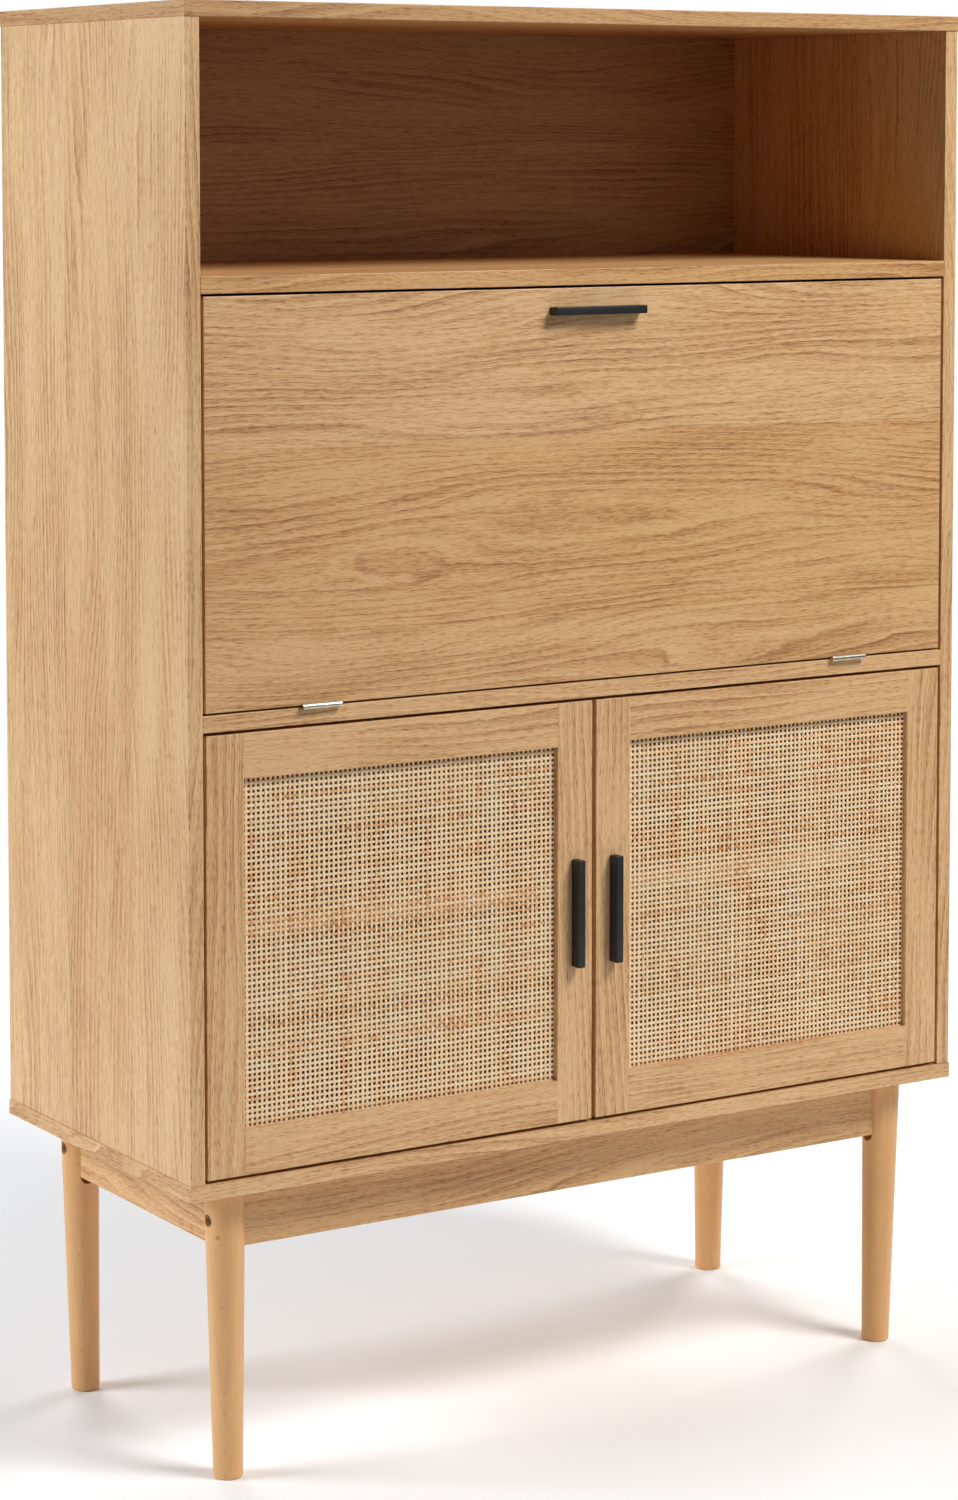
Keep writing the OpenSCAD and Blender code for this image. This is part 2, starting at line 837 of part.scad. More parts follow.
// Bracket on the inner face of the flap, with the pin that carries the rod
module stay_bracket() {
    translate([0, -stay_off, 0]) {
        block([ear_in - bracket_out, 0, -bracket_h/2],
              [ear_in - bracket_out + bracket_w, bracket_t, bracket_h/2]);
        block([ear_in, 0, -6], [ear_in + ear_t, stay_off, 6]);
    }
    translate([ear_in, 0, 0]) rotate([0, 90, 0]) cylinder(d = 12, h = ear_t);
    translate([rod_in - eye_t/2 - 0.3, 0, 0]) rotate([0, 90, 0])
        cylinder(d = stay_pin_d, h = eye_t + 0.6 + eps);
    translate([rod_in - eye_t/2 - 1.5, 0, 0]) rotate([0, 90, 0])
        cylinder(d = 6.4, h = 1.2 + eps);
}

// Holes of one bracket, in its own place
module at_bracket_screws() {
    for (z = [-bracket_h/2 + 6, bracket_h/2 - 6])
        translate([ear_in + ear_t + 10, bracket_t - stay_off, z]) children();
}

module at_flap_inner_screws() {
    for (side = [-1, 1]) at_stay_pin(side) at_bracket_screws() rotate([-90, 0, 0]) children();
    translate([0, flap_back + strike_t, upper_low - strike_h/2 - 1])
        rotate([-90, 0, 0]) children();
}

module stay_brackets() {
    color(zinc) difference() {
        for (side = [-1, 1]) at_stay_pin(side) stay_bracket();
        at_flap_inner_screws() pan_hole(pan_d, side_screw_l);
    }
}

module flap_inner_screws() {
    color(zinc) at_flap_inner_screws() pan_screw(pan_d, side_screw_l, pan_head_d, 1.4);
}

module strike_plate() {
    color(zinc) difference() {
        block([-strike_w/2, flap_back, upper_low - strike_h - 3],
              [strike_w/2, flap_back + strike_t, upper_low - 3]);
        at_flap_inner_screws() pan_hole(pan_d, side_screw_l);
    }
}

// Rod with its eye at the origin, running along -Y of the slope
module stay_rod(side) {
    color(nickel) at_stay_pin(side) translate([rod_in, 0, 0]) difference() {
        union() {
            rotate([0, 90, 0]) cylinder(d = eye_d, h = eye_t, center = true);
            rotate([-90 - stay_slope, 0, 0]) {
                cylinder(d = rod_d, h = rod_l + stay_stop_t);
                translate([0, 0, rod_l]) cylinder(d = eye_d, h = stay_stop_t);
            }
        }
        rotate([0, 90, 0])
            cylinder(d = stay_pin_d + 2*turn_fit, h = 2*eye_t, center = true);
    }
}

module stay_rod_left() {
    stay_rod(-1);
}

module stay_rod_right() {
    stay_rod(1);
}

// Turning guide: a round block on a riveted spindle, bored for the rod
module stay_guide(side) {
    color(zinc) at_guide(side) difference() {
        rotate([0, 90, 0]) {
            translate([0, 0, 0.3]) cylinder(d = rivet_d, h = rivet_t);
            translate([0, 0, 0.3]) cylinder(d = spindle_d, h = plate_t + 1);
            translate([0, 0, plate_t + loose])
                cylinder(d = guide_d, h = 2*(rod_in - plate_t - loose));
        }
        translate([rod_in, 0, 0]) rotate([-90 - stay_slope, 0, 0])
            cylinder(d = rod_d + 2*slide_fit, h = 2*guide_d, center = true);
    }
}

module stay_guide_left() {
    stay_guide(-1);
}

module stay_guide_right() {
    stay_guide(1);
}

// Screws into the side panels, drawn for one side: stay plate and hinge plates
module at_side_screws(side) {
    at_guide(side) for (y = [-1, 1], z = [-1, 1])
        translate([plate_t, y*(plate_w/2 - 5), z*(plate_h/2 - 6)]) rotate([0, 90, 0]) children();
    at_door_hinges(side) for (z = [-mount_screw_z, mount_screw_z])
        translate([wall_x + mount_t, mount_y + mount_l/2, z]) rotate([0, 90, 0]) children();
}

module stay_plates() {
    color(zinc) difference() {
        for (side = [-1, 1]) at_guide(side)
            block([0, -plate_w/2, -plate_h/2], [plate_t, plate_w/2, plate_h/2]);
        for (side = [-1, 1]) at_guide(side) rotate([0, 90, 0]) {
            translate([0, 0, -1]) cylinder(d = spindle_d + 2*turn_fit, h = plate_t + 2);
            translate([0, 0, -1]) cylinder(d = rivet_d + 0.4, h = rivet_t + 1.6);
        }
        for (side = [-1, 1]) at_side_screws(side) pan_hole(pan_d, side_screw_l);
    }
}

module side_panel_screws() {
    color(zinc) for (side = [-1, 1]) at_side_screws(side)
        pan_screw(pan_d, side_screw_l, pan_head_d, pan_head_h);
}

module at_catch_screws() {
    for (x = [-1, 1])
        translate([x*(catch_w/2 - 6), catch_y + catch_d/2, upper_low]) children();
}

module magnetic_catch() {
    color(black_metal) difference() {
        block([-catch_w/2, catch_y, upper_low - catch_h],
              [catch_w/2, catch_y + catch_d, upper_low]);
        block([-strike_w/2, catch_y - 1, upper_low - catch_h + 2],
              [strike_w/2, catch_y + catch_dish, upper_low - 3]);
    }
    color(zinc) at_catch_screws() mirror([0, 0, 1])
        translate([0, 0, -(side_screw_l - 2)]) cylinder(d = pan_d, h = side_screw_l - 2 + eps);
}

// Door hinges

module door_hinge_arms() {
    color(zinc) for (side = [-1, 1]) at_door_hinges(side) difference() {
        union() {
            ribbon(arm_path, arm_t, arm_h);
            cylinder(d = arm_eye_d, h = arm_h, center = true);
        }
        cylinder(d = door_pin_d + 2*turn_fit, h = 2*arm_h, center = true);
    }
}

module door_hinge_plates() {
    color(zinc) difference() {
        for (side = [-1, 1]) at_door_hinges(side) {
            block([wall_x, mount_y, -arm_h/2 - 1], [wall_x + mount_t, mount_y + mount_l, arm_h/2 + 1]);
            block([wall_x, mount_y + mount_l/2 - 8, -mount_h/2],
                  [wall_x + mount_t, mount_y + mount_l/2 + 8, mount_h/2]);
        }
        for (side = [-1, 1]) at_side_screws(side) pan_hole(pan_d, side_screw_l);
    }
}

module hinge_cups(side) {
    color(zinc) at_door_hinges(side) {
        translate([0, cup_back, 0]) difference() {
            union() {
                rotate([90, 0, 0]) cylinder(d = cup_d, h = cup_deep);
                block([-cup_flange_w/2, 0, -cup_flange_h/2],
                      [cup_flange_w/2, cup_flange_t, cup_flange_h/2]);
            }
            translate([0, 2, 0]) rotate([90, 0, 0])
                cylinder(d = cup_d - 2*cup_wall, h = cup_deep + 2 - cup_floor);
            at_cup_screws() pan_hole(pan_d, side_screw_l);
        }
        cylinder(d = door_pin_d, h = cup_d - cup_wall, center = true);
    }
}

// Screws of one cup, from the back face of the door
module at_cup_screws() {
    for (z = [-cup_screw_z, cup_screw_z])
        translate([0, cup_flange_t, z]) rotate([-90, 0, 0]) children();
}

// Doors, drawn for the left

module door_holes() {
    at_door_hinges(-1) translate([0, cup_back, 0]) {
        translate([0, 1, 0]) rotate([90, 0, 0]) cylinder(d = cup_d + 2*fit, h = cup_deep + 1 + fit);
        at_cup_screws() pan_hole(pan_d, side_screw_l);
    }
    at_door_handle_screws() pan_hole(m4_d, door_t + 1, bolt_room);
}

module cane_rebate() {
    block([pane_out - rebate_w, cane_y, pane_low - rebate_w],
          [pane_in + rebate_w, door_back + 1, pane_top + rebate_w]);
}

module door_stiles() {
    difference() {
        union() {
            block([door_out, face_y, door_low], [pane_out, door_back, door_top]);
            block([pane_in, face_y, door_low], [door_in, door_back, door_top]);
        }
        cane_rebate();
        door_holes();
        rail_tenons(loose/2);
    }
}

// Tenons of both rails; room widens them to cut their mortises
module rail_tenons(room) {
    for (z = [door_low + tenon_shoulder, door_top - rail_h + rebate_w + 2])
        block([pane_out - tenon_l - room, cane_y - tenon_t/2 + 2 - room, z - room],
              [pane_in + tenon_l + room, cane_y + tenon_t/2 + 2 + room,
               z + rail_h - rebate_w - tenon_shoulder - 2 + room]);
}

module door_rails() {
    difference() {
        union() {
            block([pane_out, face_y, door_low], [pane_in, door_back, pane_low]);
            block([pane_out, face_y, pane_top], [pane_in, door_back, door_top]);
            rail_tenons(0);
        }
        block([pane_out - 2*tenon_l, face_y - 1, pane_low],
              [pane_in + 2*tenon_l, door_back + 1, pane_top]);
        cane_rebate();
    }
}

module door_rattan() {
    edge = rebate_w - loose;
    block([pane_out - edge, cane_y, pane_low - edge], [pane_in + edge, bead_y, pane_top + edge]);
}

// Four strips that hold the cane in its rebate
module door_beads() {
    edge = rebate_w - loose;
    x0 = pane_out - edge;
    x1 = pane_in + edge;
    z0 = pane_low - edge;
    z1 = pane_top + edge;
    for (x = [x0, x1 - edge]) block([x, bead_y, z0], [x + edge, door_back, z1]);
    for (z = [z0, z1 - edge])
        block([x0 + edge + loose, bead_y, z], [x1 - edge - loose, door_back, z + edge]);
}

module at_door_handle_screws() {
    translate([door_handle_x, door_back, door_mid])
        at_handle_screws() rotate([-90, 0, 0]) children();
}

module door_handle() {
    translate([door_handle_x, face_y, door_mid]) bar_handle();
}

module door_screws() {
    at_door_handle_screws() pan_screw(m4_d, door_t + handle_thread_l - 1, pan_head_d, pan_head_h);
    at_door_hinges(-1) translate([0, cup_back, 0]) at_cup_screws()
        pan_screw(pan_d, side_screw_l, pan_head_d, pan_head_h);
}

module door_left_stiles() {
    color(oak) door_stiles();
}

module door_left_rails() {
    color(oak) door_rails();
}

module door_left_rattan() {
    color(cane) door_rattan();
}

module door_left_beads() {
    color(edge_oak) door_beads();
}

module door_left_handle() {
    color(black_metal) door_handle();
}

module door_left_hinge_cups() {
    hinge_cups(-1);
}

module door_left_screws() {
    color(zinc) door_screws();
}

module door_right_stiles() {
    color(oak) to_side(1) door_stiles();
}

module door_right_rails() {
    color(oak) to_side(1) door_rails();
}

module door_right_rattan() {
    color(cane) to_side(1) door_rattan();
}

module door_right_beads() {
    color(edge_oak) to_side(1) door_beads();
}

module door_right_handle() {
    color(black_metal) to_side(1) door_handle();
}

module door_right_hinge_cups() {
    hinge_cups(1);
}

module door_right_screws() {
    color(zinc) to_side(1) door_screws();
}

top_panel();
bottom_panel();
side_panel_left();
side_panel_right();
upper_shelf();
middle_shelf();
adjustable_shelf();
shelf_pins();
back_panel_upper();
back_panel_middle();
back_panel_lower();
dowels();
cam_locks();
cam_bolts();
leg_front_left();
leg_front_right();
leg_rear_left();
leg_rear_right();
apron_front();
apron_rear();
apron_left();
apron_right();
leg_bolts();
barrel_nuts();
base_bolts();
base_screws();
flap_hinge_shelf_leaves();
flap_hinge_pins();
flap_hinge_shelf_screws();
stay_plates();
door_hinge_plates();
door_hinge_arms();
side_panel_screws();
magnetic_catch();
flap_panel();
flap_handle();
flap_handle_screws();
flap_hinge_leaves();
flap_hinge_screws();
stay_brackets();
flap_inner_screws();
strike_plate();
stay_rod_left();
stay_rod_right();
stay_guide_left();
stay_guide_right();
door_left_stiles();
door_left_rails();
door_left_rattan();
door_left_beads();
door_left_handle();
door_left_hinge_cups();
door_left_screws();
door_right_stiles();
door_right_rails();
door_right_rattan();
door_right_beads();
door_right_handle();
door_right_hinge_cups();
door_right_screws();
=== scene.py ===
# %% [markdown]
# # A secretary desk in oak foil and woven cane
#
# The desk is a carcass of foiled boards on four tapered legs. It has an open bay at the top, a
# drop flap that becomes a writing surface, and two doors with cane panels. The exact shapes
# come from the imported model. This script gives them eased edges, real weaving, and finishes
# that look like what each part is made of.

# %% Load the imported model
import json
import math

import bmesh
import bpy
import numpy as np
from mathutils import Matrix, Vector


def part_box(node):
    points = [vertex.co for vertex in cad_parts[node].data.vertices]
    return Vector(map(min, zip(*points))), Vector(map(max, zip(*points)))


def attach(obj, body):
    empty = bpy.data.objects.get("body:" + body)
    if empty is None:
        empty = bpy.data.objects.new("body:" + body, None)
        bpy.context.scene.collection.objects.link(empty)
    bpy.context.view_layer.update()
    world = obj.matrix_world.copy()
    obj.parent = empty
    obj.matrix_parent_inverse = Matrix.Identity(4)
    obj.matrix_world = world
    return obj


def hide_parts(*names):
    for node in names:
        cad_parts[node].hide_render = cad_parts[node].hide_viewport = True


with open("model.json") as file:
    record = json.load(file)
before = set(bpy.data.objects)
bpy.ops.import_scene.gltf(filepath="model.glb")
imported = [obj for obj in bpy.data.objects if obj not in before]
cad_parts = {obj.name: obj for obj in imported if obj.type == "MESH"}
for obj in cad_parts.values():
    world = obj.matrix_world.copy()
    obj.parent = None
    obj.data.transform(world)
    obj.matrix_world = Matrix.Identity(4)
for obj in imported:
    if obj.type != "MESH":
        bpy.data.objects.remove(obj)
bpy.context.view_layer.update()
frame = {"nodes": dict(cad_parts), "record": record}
BODY_OF = {node: body for body, nodes in frame["record"]["behaviour"]["bodies"].items() for node in nodes}
MM = 0.001

# %% [markdown]
# ## Camera
# A product picture of furniture is often taken from chest height, with the lens slid down so that
# upright edges stay nearly upright. Tilting the camera instead would make the legs lean together.
# Here a little over half of the drop comes from the lens shift, and a small tilt gives the rest.

# %% Camera
CAMERA_PLACE = (-2.0670, -3.2440, 1.2609)
CAMERA_YAW = 0.5640
CAMERA_PITCH = -0.0738
CAMERA_LENS = 91.1
CAMERA_DROP = -0.218

camera_data = bpy.data.cameras.new("camera")
camera_data.lens = CAMERA_LENS
camera_data.shift_y = CAMERA_DROP
camera = bpy.data.objects.new("camera", camera_data)
bpy.context.scene.collection.objects.link(camera)
looking = Vector(
    (
        math.sin(CAMERA_YAW) * math.cos(CAMERA_PITCH),
        math.cos(CAMERA_YAW) * math.cos(CAMERA_PITCH),
        math.sin(CAMERA_PITCH),
    )
)
camera.location = CAMERA_PLACE
camera.rotation_euler = looking.to_track_quat("-Z", "Y").to_euler()
bpy.context.scene.camera = camera
print("camera looks along", [round(v, 3) for v in looking])

# %% [markdown]
# ## Building materials from nodes
# Every finish below is a small network of nodes. A few helpers keep the networks readable: they
# start a material, add a node, do a sum, stretch a noise along the grain, make a colour ramp, mix
# two colours and feed in a bump. Lengths inside the networks are in millimetres, because a maker
# thinks of pores and strands in millimetres.


# %% Helpers for materials
def new_finish(name, roughness, **shader_values):
    """Starts a material; returns it, its node tree and its shader node."""
    finish = bpy.data.materials.new(name)
    finish.use_nodes = True
    tree = finish.node_tree
    shader = tree.nodes["Principled BSDF"]
    shader.inputs["Roughness"].default_value = roughness
    for socket, value in shader_values.items():
        shader.inputs[socket.replace("_", " ")].default_value = value
    return finish, tree, shader


def add(tree, kind, feeds=None, **settings):
    """Adds a node, sets its properties, and feeds its sockets with numbers or with other sockets."""
    made = tree.nodes.new("ShaderNode" + kind)
    for name, value in settings.items():
        setattr(made, name, value)
    for socket, value in (feeds or {}).items():
        if isinstance(value, bpy.types.NodeSocket):
            tree.links.new(value, made.inputs[socket])
        else:
            made.inputs[socket].default_value = value
    return made


def calc(tree, operation, first, second=0.0, third=0.0):
    """One sum on numbers or sockets."""
    return add(tree, "Math", {0: first, 1: second, 2: third}, operation=operation).outputs[0]


def millimetres(tree):
    """The three object coordinates in millimetres, as the outputs X, Y and Z."""
    place = add(tree, "TexCoord").outputs["Object"]
    longer = add(tree, "VectorMath", {0: place, "Scale": 1 / MM}, operation="SCALE").outputs[0]
    return add(tree, "SeparateXYZ", {0: longer}).outputs


def stretched_noise(tree, along, across, length, width, slice_at=0.0, detail=2.0, roughness=0.5):
    """Noise whose patches are about length mm along the grain and width mm across it."""
    vector = add(
        tree,
        "CombineXYZ",
        {
            "X": calc(tree, "MULTIPLY", along, 1 / length),
            "Y": calc(tree, "MULTIPLY", across, 1 / width),
            "Z": slice_at,
        },
    ).outputs[0]
    feeds = {"Vector": vector, "Scale": 1.0, "Detail": detail, "Roughness": roughness}
    return add(tree, "TexNoise", feeds).outputs["Fac"]


def ramp(tree, value, *stops, ease="LINEAR"):
    """A colour ramp from (place, colour) stops; a colour may be one grey number."""
    made = add(tree, "ValToRGB", {"Fac": value})
    made.color_ramp.interpolation = ease
    points = made.color_ramp.elements
    while len(points) < len(stops):
        points.new(0.5)
    for point, (place, colour) in zip(points, stops):
        point.position = place
        shown = (colour,) * 3 if isinstance(colour, (int, float)) else colour
        point.color = (*shown, 1.0)
    return made.outputs["Color"]


def tint(tree, first, second, share, blend="MIX"):
    """Mixes two colours by a share."""
    made = add(tree, "Mix", data_type="RGBA", blend_type=blend)
    for socket, value in ((made.inputs[0], share), (made.inputs[6], first), (made.inputs[7], second)):
        if isinstance(value, bpy.types.NodeSocket):
            tree.links.new(value, socket)
        elif isinstance(value, (int, float)):
            socket.default_value = value
        else:
            socket.default_value = (*value, 1.0)
    return made.outputs[2]


def relief(tree, shader, height, strength, depth):
    """Feeds a height in as a bump depth metres deep."""
    bump = add(tree, "Bump", {"Height": height, "Strength": strength, "Distance": depth})
    tree.links.new(bump.outputs[0], shader.inputs["Normal"])


print("material helpers ready")

# %% [markdown]
# ## Oak foil
# The boards are particle board under a printed foil with an oak pattern. A picture of oak could be
# wrapped on, but a picture repeats and has edges. Instead the pattern follows how oak grows.
# A slowly bending flow field stands for the growth rings. Rings and streaks follow it, so they
# bend together into flames and arches. Fine lines and short pores only waver a little. The print
# imitates planks side by side, so a board can have seams, and each plank has its own depth of
# colour. On the two ends of a board the edge band runs along the edge, so there the pattern is
# turned to follow it. The boards around the open bay are printed darker still, as painted shade.

# %% Oak foil
OAK_PALE = (0.820, 0.548, 0.290)
OAK_MID = (0.670, 0.390, 0.178)
OAK_DEEP = (0.330, 0.142, 0.052)
# Colour that deepens darker planks; on the boards around the open bay it also paints their shade.
PLANK_AND_SHADE_DEEPENING = (0.90, 0.80, 0.66)
THIRD_AXIS = {"XY": "Z", "YX": "Z", "XZ": "Y", "ZX": "Y", "YZ": "X", "ZY": "X"}
END_FACING = 0.7  # a face that looks this far along the grain is a board's end
SLICE_STEP = 3.7  # how far apart in the noise two neighbouring planks are cut

# Each pattern's length along the grain and width across it in mm, then its detail and roughness.
BEND = (620, 100, 1.5, 0.45)
RIPPLE = (26, 20, 2.0, 0.6)
RING_FADE = (260, 45, 2.0, 0.5)
CLOUD = (420, 60, 3.0, 0.55)
STREAK = (170, 0.20, 2.0, 0.6)
FINE_LINE = (62, 1.35, 2.0, 0.6)
PORE = (10, 0.85, 2.0, 0.5)

# How much each pattern darkens the oak, and how much is taken off again to keep the board pale.
RING_SHARE, STREAK_SHARE, LINE_SHARE, PORE_SHARE, CLOUD_SHARE = 0.54, 0.24, 0.28, 0.42, 0.50
PALENESS = 0.40
RINGS_PER_MM = 0.11
RIPPLE_IN_RINGS = 0.35
RIPPLE_IN_LINES = 3.6


def plank_steps(tree, across, seams, values):
    """A value for each plank, from the lowest seam up: values has one more entry than seams."""
    total = values[0]
    for seam, before, after in zip(seams, values, values[1:]):
        step = calc(tree, "GREATER_THAN", across, seam)
        total = calc(tree, "MULTIPLY_ADD", step, after - before, total)
    return total


def swap(tree, usual, other, share):
    """The usual number where share is 0, and the other where it is 1."""
    return calc(tree, "MULTIPLY_ADD", calc(tree, "SUBTRACT", other, usual), share, usual)


def oak_foil(name, grain, across, seed, seams=(), plank_and_shade_depths=(0.3,), figure=14.0, painted_shade_factor=1.0):
    """Oak print with its grain along one axis. seams are places across the grain, in mm. Each plank is
    deepened by its depth: print tone, and painted shade on the boards around the open bay. A factor below
    1 darkens the whole print as painted shade.
    """
    finish, tree, shader = new_finish(name, 0.5)
    axes = millimetres(tree)
    wide, deep = axes[across], axes[THIRD_AXIS[grain + across]]
    facing = add(tree, "SeparateXYZ", {0: add(tree, "TexCoord").outputs["Normal"]}).outputs[grain]
    on_end = calc(tree, "GREATER_THAN", calc(tree, "ABSOLUTE", facing), END_FACING)
    along = swap(tree, axes[grain], wide, on_end)
    spread = swap(tree, calc(tree, "ADD", wide, deep), deep, on_end)
    plank_and_shade_depth = plank_steps(tree, wide, seams, plank_and_shade_depths)
    slices = [seed + SLICE_STEP * plank for plank in range(len(seams) + 1)]
    plank_slice = plank_steps(tree, wide, seams, slices)

    def pattern(sizes, sideways):
        length, width, detail, roughness = sizes
        return stretched_noise(tree, along, sideways, length, width, plank_slice, detail, roughness)

    bend = pattern(BEND, spread)
    ripple = pattern(RIPPLE, spread)
    strength = pattern(RING_FADE, spread)
    cloud = pattern(CLOUD, spread)
    flow = calc(tree, "MULTIPLY_ADD", spread, RINGS_PER_MM, calc(tree, "MULTIPLY", bend, figure))
    flow = calc(tree, "MULTIPLY_ADD", ripple, RIPPLE_IN_RINGS, flow)
    wavy = calc(tree, "MULTIPLY_ADD", ripple, RIPPLE_IN_LINES, spread)
    streaks = pattern(STREAK, flow)
    lines = pattern(FINE_LINE, wavy)
    pores = pattern(PORE, wavy)
    ring_wave = ramp(tree, calc(tree, "FRACT", flow), (0.0, 0.0), (0.80, 0.85), (0.92, 1.0), (1.0, 0.0))
    ring_share = ramp(tree, strength, (0.38, 0.15), (0.62, 1.0))
    ring_tone = calc(tree, "MULTIPLY", ring_wave, ring_share)
    line_tone = ramp(tree, lines, (0.45, 0.0), (0.68, 1.0), ease="EASE")
    streak_tone = ramp(tree, streaks, (0.42, 0.0), (0.66, 1.0), ease="EASE")
    pore_tone = ramp(tree, pores, (0.50, 0.0), (0.62, 1.0))
    darkness = calc(tree, "MULTIPLY", ring_tone, RING_SHARE)
    darkness = calc(tree, "MULTIPLY_ADD", streak_tone, STREAK_SHARE, darkness)
    darkness = calc(tree, "MULTIPLY_ADD", line_tone, LINE_SHARE, darkness)
    darkness = calc(tree, "MULTIPLY_ADD", pore_tone, PORE_SHARE, darkness)
    darkness = calc(tree, "MULTIPLY_ADD", cloud, CLOUD_SHARE, calc(tree, "SUBTRACT", darkness, PALENESS))
    shown = ramp(tree, darkness, (0.0, OAK_PALE), (0.40, OAK_MID), (1.0, OAK_DEEP))
    # Plank tone multiplied in, which on the bay's boards is painted shade, scaled by the painted shade
    # factor.
    shown = tint(tree, shown, tuple(painted_shade_factor * c for c in PLANK_AND_SHADE_DEEPENING), plank_and_shade_depth, "MULTIPLY")
    tree.links.new(shown, shader.inputs["Base Color"])
    gloss = calc(tree, "MULTIPLY_ADD", line_tone, 0.12, 0.44)
    tree.links.new(gloss, shader.inputs["Roughness"])
    height = calc(tree, "MULTIPLY_ADD", pore_tone, -0.7, calc(tree, "MULTIPLY", line_tone, -0.3))
    relief(tree, shader, height, 0.25, 0.0002)
    return finish


flap_low, flap_high = (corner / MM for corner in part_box("flap_panel"))
flap_rise = flap_high.z - flap_low.z
FLAP_SEAMS = (flap_low.z + 0.17 * flap_rise, flap_low.z + 0.63 * flap_rise)

FOILS = {
    # The top panel (factor 0.84) and the upper shelf (fully deepened planks) close in the open bay: their
    # darker print is painted shade.
    "top_panel": oak_foil("oak foil top", "X", "Y", 11.0, (-40.0, 95.0), (0.9, 1.0, 0.9), 14.0, 0.84),
    "bottom_panel": oak_foil("oak foil bottom", "X", "Y", 12.0, (60.0,), (0.4, 0.5)),
    "upper_shelf": oak_foil("oak foil upper shelf", "X", "Y", 13.0, (-20.0,), (1.0, 1.1)),
    "middle_shelf": oak_foil("oak foil middle shelf", "X", "Y", 14.0, (30.0,), (0.4, 0.5)),
    "adjustable_shelf": oak_foil("oak foil loose shelf", "X", "Y", 15.0, (10.0,), (0.3, 0.5)),
    "side_panel_left": oak_foil("oak foil left side", "Z", "Y", 21.0, (-75.0, 60.0), (0.12, 0.3, 0.1)),
    "side_panel_right": oak_foil("oak foil right side", "Z", "Y", 22.0, (-50.0, 85.0), (0.3, 0.5, 0.3)),
    "flap_panel": oak_foil("oak foil flap", "X", "Z", 31.0, FLAP_SEAMS, (0.62, 0.85, 0.35)),
    "apron_front": oak_foil("oak foil front apron", "X", "Z", 41.0, (), (0.75,)),
    "apron_rear": oak_foil("oak foil rear apron", "X", "Z", 42.0, (), (0.75,)),
    "apron_left": oak_foil("oak foil left apron", "Y", "Z", 43.0, (), (0.75,)),
    "apron_right": oak_foil("oak foil right apron", "Y", "Z", 44.0, (), (0.75,)),
    "door_left_stiles": oak_foil("oak foil left door stiles", "Z", "X", 51.0, (), (0.25,), 9.0),
    "door_left_rails": oak_foil("oak foil left door rails", "X", "Z", 52.0, (), (0.4,), 9.0),
    "door_right_stiles": oak_foil("oak foil right door stiles", "Z", "X", 53.0, (), (0.25,), 9.0),
    "door_right_rails": oak_foil("oak foil right door rails", "X", "Z", 54.0, (), (0.4,), 9.0),
}
print("oak foils made:", len(FOILS))

# %% [markdown]
# ## Boards with eased edges
# A real board never ends in a knife edge: the foil or edge band is rounded over by half a
# millimetre, and that rounding is what catches the light along every edge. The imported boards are
# exact but sharp. Each board is copied, its loose triangles are merged into whole faces, and its
# long edges are bevelled. The machined holes stay as they are. A bevel that ends beside a hole can
# push a corner point a few hundredths of a millimetre outwards, so such points are brought back.


# %% Helpers for modelling
WELD_DISTANCE = 0.01 * MM
SHARP_ANGLE = math.radians(60)
FLAT_ANGLE = math.radians(0.5)


def only(piece):
    """Selects one object and nothing else, and makes it active."""
    bpy.ops.object.select_all(action="DESELECT")
    piece.select_set(True)
    bpy.context.view_layer.objects.active = piece
    return piece


def pick_edges(piece, wanted):
    """In edit mode, selects the edges for which wanted(edge) is true; returns how many."""
    bpy.ops.mesh.select_mode(type="EDGE")
    bpy.ops.mesh.select_all(action="DESELECT")
    mesh = bmesh.from_edit_mesh(piece.data)
    count = 0
    for edge in mesh.edges:
        if wanted(edge):
            edge.select_set(True)
            count += 1
    bmesh.update_edit_mesh(piece.data)
    return count


def is_long_corner(edge, shortest, axes):
    """True for a sharp edge at least so long that runs along one of the axes."""
    if len(edge.link_faces) != 2 or edge.calc_length() < shortest:
        return False
    run = edge.verts[1].co - edge.verts[0].co
    axis = "XYZ"[max(range(3), key=lambda i: abs(run[i]))]
    return axis in axes and edge.calc_face_angle() > SHARP_ANGLE


def whole_copy(node, name):
    """Copies a CAD node as a new piece whose triangles are merged into whole faces."""
    piece = bpy.data.objects.new(name, frame["nodes"][node].data.copy())
    bpy.context.scene.collection.objects.link(piece)
    only(piece)
    bpy.ops.mesh.customdata_custom_splitnormals_clear()
    bpy.ops.object.mode_set(mode="EDIT")
    bpy.ops.mesh.select_all(action="SELECT")
    bpy.ops.mesh.remove_doubles(threshold=WELD_DISTANCE)
    bpy.ops.mesh.dissolve_limited(angle_limit=FLAT_ANGLE)
    bpy.ops.object.mode_set(mode="OBJECT")
    return piece


def ease(piece, wanted, width, segments=2):
    """Rounds over the wanted edges."""
    only(piece)
    bpy.ops.object.mode_set(mode="EDIT")
    count = pick_edges(piece, wanted)
    bpy.ops.mesh.bevel(offset=width, segments=segments, affect="EDGES")
    bpy.ops.object.mode_set(mode="OBJECT")
    return count


def read_points(piece):
    """All the points of a piece's mesh, one row each."""
    places = np.empty(3 * len(piece.data.vertices), np.float32)
    piece.data.vertices.foreach_get("co", places)
    return places.reshape(-1, 3)


def write_points(piece, places):
    """Puts moved points back into the piece's mesh."""
    piece.data.vertices.foreach_set("co", places.ravel())
    piece.data.update()


def keep_inside(piece, node):
    """Brings back any point that rounding pushed out of the node's box; returns how many."""
    low, high = (np.array(corner, np.float32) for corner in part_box(node))
    places = read_points(piece)
    kept = np.clip(places, low, high)
    write_points(piece, kept)
    return int((np.abs(kept - places) > 0.001 * MM).any(axis=1).sum())


